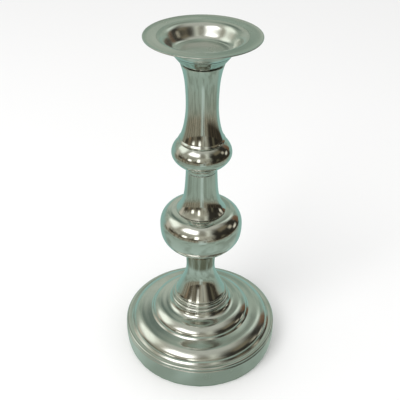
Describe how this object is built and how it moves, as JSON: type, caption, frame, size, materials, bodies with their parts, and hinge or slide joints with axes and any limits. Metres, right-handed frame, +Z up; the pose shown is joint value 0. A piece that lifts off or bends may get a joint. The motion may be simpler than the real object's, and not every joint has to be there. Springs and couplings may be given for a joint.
{
  "type": "altar candlestick",
  "caption": "Turned, silver-plated altar candlestick with a stepped round base, two knops on a waisted stem, and a drip pan with a candle well that unscrews.",
  "frame": {"origin": "centre of the underside, on the surface that the candlestick stands on", "axes": "+Z up along the turned axis, towards the drip pan; round about Z, so +X and +Y are free"},
  "size_m": [0.1424, 0.1424, 0.305],
  "materials": {
    "plate": "bright polished silver plate on brass",
    "brass": "turned, bare",
    "steel": "zinc plated",
    "felt": "green wool felt"
  },
  "bodies": {
    "stem": {"pan_collar": "plate", "upper_neck": "plate", "upper_knop": "plate", "knop_collar": "plate", "middle_neck": "plate", "main_knop": "plate", "lower_neck": "plate", "foot_ring": "plate", "base_collar": "plate", "base_shell": "plate", "base_rim": "plate", "tie_rod": "steel", "top_washer": "steel", "top_nut": "steel", "clamp_plate": "steel", "base_washer": "steel", "spring_washer": "steel", "base_nut": "steel", "felt_ring": "felt"},
    "pan_thread": {"pan_boss": "brass"},
    "pan": {"drip_pan": "plate", "candle_cup": "plate", "pan_cup": "plate"}
  },
  "joints": [
    {"name": "pan_lift", "type": "slide", "parent": "stem", "child": "pan_thread", "axis": [0, 0, 1], "range_m": [0, 0.0101]},
    {"name": "pan_turn", "type": "hinge", "parent": "pan_thread", "child": "pan", "pos_m": [0, 0, 0.285], "axis": [0, 0, 1], "range_deg": [0, 2880]}
  ],
  "couplings": [
    {"joint": "pan_lift", "follows": "pan_turn", "m_per_rad": 0.00019894}
  ]
}
